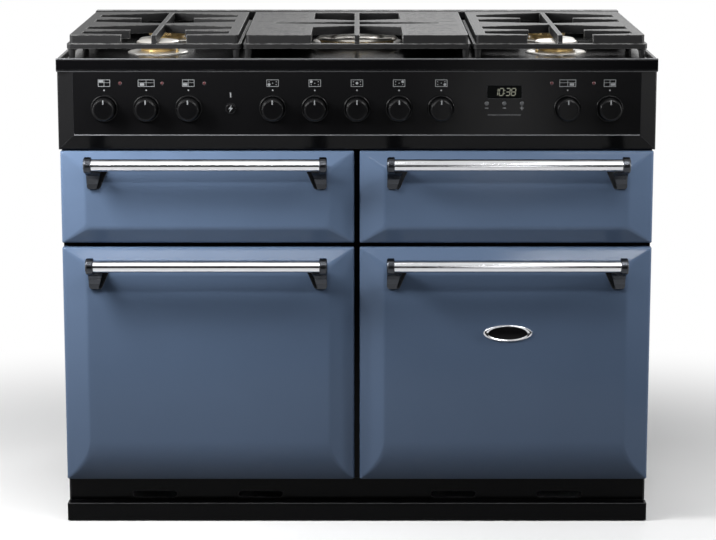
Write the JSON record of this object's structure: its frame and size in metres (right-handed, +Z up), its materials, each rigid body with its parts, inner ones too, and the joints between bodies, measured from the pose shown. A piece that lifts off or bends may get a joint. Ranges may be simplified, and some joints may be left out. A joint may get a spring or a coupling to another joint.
{
  "type": "range cooker",
  "caption": "Free-standing range cooker: two drop-door ovens, a glide-out grill and a warming drawer under a fascia of knobs, with a gas hob and cast pan supports on top.",
  "frame": {"origin": "middle of the cooker's box at floor level, under the feet and rollers", "axes": "+X to the right as seen from the front, +Y to the back, +Z up"},
  "size_m": [1.092, 0.669, 0.913],
  "materials": {
    "blue_enamel": "gloss vitreous enamel, blue grey",
    "black_enamel": "gloss black enamel",
    "fascia_enamel": "high gloss black enamel",
    "oven_enamel": "speckled dark grey enamel",
    "cast_iron": "matt black enamelled casting",
    "chrome": "polished chrome",
    "chromed_wire": "chromed wire",
    "zinc_steel": "zinc-coated steel",
    "tap_brass": "machined brass",
    "burner_brass": "brass, heat tinted",
    "burner_alloy": "cast alloy",
    "burner_cap_steel": "bright cap, satin",
    "element_steel": "oxidised sheath",
    "knob_black": "gloss black plastic",
    "clock_grey": "satin grey plastic",
    "neon_red": "translucent dark red",
    "clock_window": "smoked window",
    "seal_rubber": "silicone seal",
    "roller_nylon": "nylon roller"
  },
  "bodies": {
    "cooker_body": {"base_chassis": "black_enamel", "levelling_feet": "zinc_steel", "side_panels": "black_enamel", "back_panel": "zinc_steel", "front_frame": "black_enamel", "plinth": "black_enamel", "left_oven_liner": "oven_enamel", "right_oven_liner": "oven_enamel", "grill_housing": "zinc_steel", "drawer_housing": "zinc_steel", "oven_seals": "seal_rubber", "hinge_brackets": "zinc_steel", "oven_racks": "chromed_wire", "fan_covers": "oven_enamel", "fan_motors": "zinc_steel", "heating_elements": "element_steel", "hob_tray": "black_enamel", "flue_vent": "black_enamel", "burner_bases": "burner_alloy", "burner_heads": "burner_brass", "burner_caps": "burner_cap_steel", "taps_and_switches": "tap_brass", "control_fascia": "fascia_enamel", "knob_bezels": "knob_black", "neon_lenses": "neon_red", "clock_module": "clock_window"},
    "knob_1": {"knob_1": "knob_black"},
    "knob_2": {"knob_2": "knob_black"},
    "knob_3": {"knob_3": "knob_black"},
    "knob_4": {"knob_4": "knob_black"},
    "knob_5": {"knob_5": "knob_black"},
    "knob_6": {"knob_6": "knob_black"},
    "knob_7": {"knob_7": "knob_black"},
    "knob_8": {"knob_8": "knob_black"},
    "knob_9": {"knob_9": "knob_black"},
    "knob_10": {"knob_10": "knob_black"},
    "ignition_button": {"ignition_button": "knob_black"},
    "clock_button_left": {"clock_button_left": "clock_grey"},
    "clock_button_middle": {"clock_button_middle": "clock_grey"},
    "clock_button_right": {"clock_button_right": "clock_grey"},
    "left_fan": {"left_fan": "zinc_steel"},
    "right_fan": {"right_fan": "zinc_steel"},
    "rear_rollers": {"rear_rollers": "roller_nylon"},
    "pan_support_left": {"pan_support_left": "cast_iron"},
    "pan_support_middle": {"pan_support_middle": "cast_iron"},
    "pan_support_right": {"pan_support_right": "cast_iron"},
    "left_door": {"left_door_skin": "blue_enamel", "left_door_liner": "oven_enamel", "left_door_handle": "chrome"},
    "right_door": {"right_door_skin": "blue_enamel", "right_door_liner": "oven_enamel", "right_door_handle": "chrome"},
    "grill_drawer": {"grill_front": "blue_enamel", "grill_carrier": "zinc_steel", "grill_handle": "chrome"},
    "grill_pan": {"grill_pan": "oven_enamel", "grill_rack": "chromed_wire"},
    "warming_drawer": {"drawer_front": "blue_enamel", "drawer_box": "zinc_steel", "drawer_handle": "chrome"}
  },
  "joints": [
    {"name": "left_door_hinge", "type": "hinge", "parent": "cooker_body", "child": "left_door", "pos_m": [-0.27425, -0.2455, 0.0985], "axis": [1, 0, 0], "range_deg": [0, 90], "stiffness_Nm_per_rad": 4, "springref_deg": -40.11},
    {"name": "right_door_hinge", "type": "hinge", "parent": "cooker_body", "child": "right_door", "pos_m": [0.27425, -0.2455, 0.0985], "axis": [1, 0, 0], "range_deg": [0, 90], "stiffness_Nm_per_rad": 4, "springref_deg": -40.11},
    {"name": "grill_slide", "type": "slide", "parent": "cooker_body", "child": "grill_drawer", "axis": [0, -1, 0], "range_m": [0, 0.3]},
    {"name": "warming_drawer_slide", "type": "slide", "parent": "cooker_body", "child": "warming_drawer", "axis": [0, -1, 0], "range_m": [0, 0.3]},
    {"name": "grill_pan_lift", "type": "slide", "parent": "grill_drawer", "child": "grill_pan", "axis": [0, 0, 1], "range_m": [0, 0.04]},
    {"name": "knob_1_turn", "type": "hinge", "parent": "cooker_body", "child": "knob_1", "pos_m": [-0.459, -0.2785, 0.786], "axis": [0, 1, 0], "range_deg": [0, 270]},
    {"name": "knob_2_turn", "type": "hinge", "parent": "cooker_body", "child": "knob_2", "pos_m": [-0.3825, -0.2785, 0.786], "axis": [0, 1, 0], "range_deg": [0, 270]},
    {"name": "knob_3_turn", "type": "hinge", "parent": "cooker_body", "child": "knob_3", "pos_m": [-0.306, -0.2785, 0.786], "axis": [0, 1, 0], "range_deg": [0, 270]},
    {"name": "knob_4_turn", "type": "hinge", "parent": "cooker_body", "child": "knob_4", "pos_m": [-0.153, -0.2785, 0.786], "axis": [0, -1, 0], "range_deg": [0, 210]},
    {"name": "knob_5_turn", "type": "hinge", "parent": "cooker_body", "child": "knob_5", "pos_m": [-0.0765, -0.2785, 0.786], "axis": [0, -1, 0], "range_deg": [0, 210]},
    {"name": "knob_6_turn", "type": "hinge", "parent": "cooker_body", "child": "knob_6", "pos_m": [0, -0.2785, 0.786], "axis": [0, -1, 0], "range_deg": [0, 210]},
    {"name": "knob_7_turn", "type": "hinge", "parent": "cooker_body", "child": "knob_7", "pos_m": [0.0765, -0.2785, 0.786], "axis": [0, -1, 0], "range_deg": [0, 210]},
    {"name": "knob_8_turn", "type": "hinge", "parent": "cooker_body", "child": "knob_8", "pos_m": [0.153, -0.2785, 0.786], "axis": [0, -1, 0], "range_deg": [0, 210]},
    {"name": "knob_9_turn", "type": "hinge", "parent": "cooker_body", "child": "knob_9", "pos_m": [0.3825, -0.2785, 0.786], "axis": [0, 1, 0], "range_deg": [0, 270]},
    {"name": "knob_10_turn", "type": "hinge", "parent": "cooker_body", "child": "knob_10", "pos_m": [0.459, -0.2785, 0.786], "axis": [0, 1, 0], "range_deg": [0, 270]},
    {"name": "ignition_press", "type": "slide", "parent": "cooker_body", "child": "ignition_button", "axis": [0, 1, 0], "range_m": [0, 0.003], "stiffness_N_per_m": 400, "springref_m": -0.002},
    {"name": "clock_left_press", "type": "slide", "parent": "cooker_body", "child": "clock_button_left", "axis": [0, 1, 0], "range_m": [0, 0.0012], "stiffness_N_per_m": 300, "springref_m": -0.001},
    {"name": "clock_middle_press", "type": "slide", "parent": "cooker_body", "child": "clock_button_middle", "axis": [0, 1, 0], "range_m": [0, 0.0012], "stiffness_N_per_m": 300, "springref_m": -0.001},
    {"name": "clock_right_press", "type": "slide", "parent": "cooker_body", "child": "clock_button_right", "axis": [0, 1, 0], "range_m": [0, 0.0012], "stiffness_N_per_m": 300, "springref_m": -0.001},
    {"name": "left_fan_spin", "type": "hinge", "parent": "cooker_body", "child": "left_fan", "pos_m": [-0.27425, 0.2235, 0.307], "axis": [0, 1, 0], "continuous": true},
    {"name": "right_fan_spin", "type": "hinge", "parent": "cooker_body", "child": "right_fan", "pos_m": [0.27425, 0.2235, 0.307], "axis": [0, 1, 0], "continuous": true},
    {"name": "rollers_spin", "type": "hinge", "parent": "cooker_body", "child": "rear_rollers", "pos_m": [0, 0.2845, 0.025], "axis": [1, 0, 0], "continuous": true},
    {"name": "pan_support_left_lift", "type": "slide", "parent": "cooker_body", "child": "pan_support_left", "axis": [0, 0, 1], "range_m": [0, 0.06]},
    {"name": "pan_support_middle_lift", "type": "slide", "parent": "cooker_body", "child": "pan_support_middle", "axis": [0, 0, 1], "range_m": [0, 0.06]},
    {"name": "pan_support_right_lift", "type": "slide", "parent": "cooker_body", "child": "pan_support_right", "axis": [0, 0, 1], "range_m": [0, 0.06]}
  ]
}
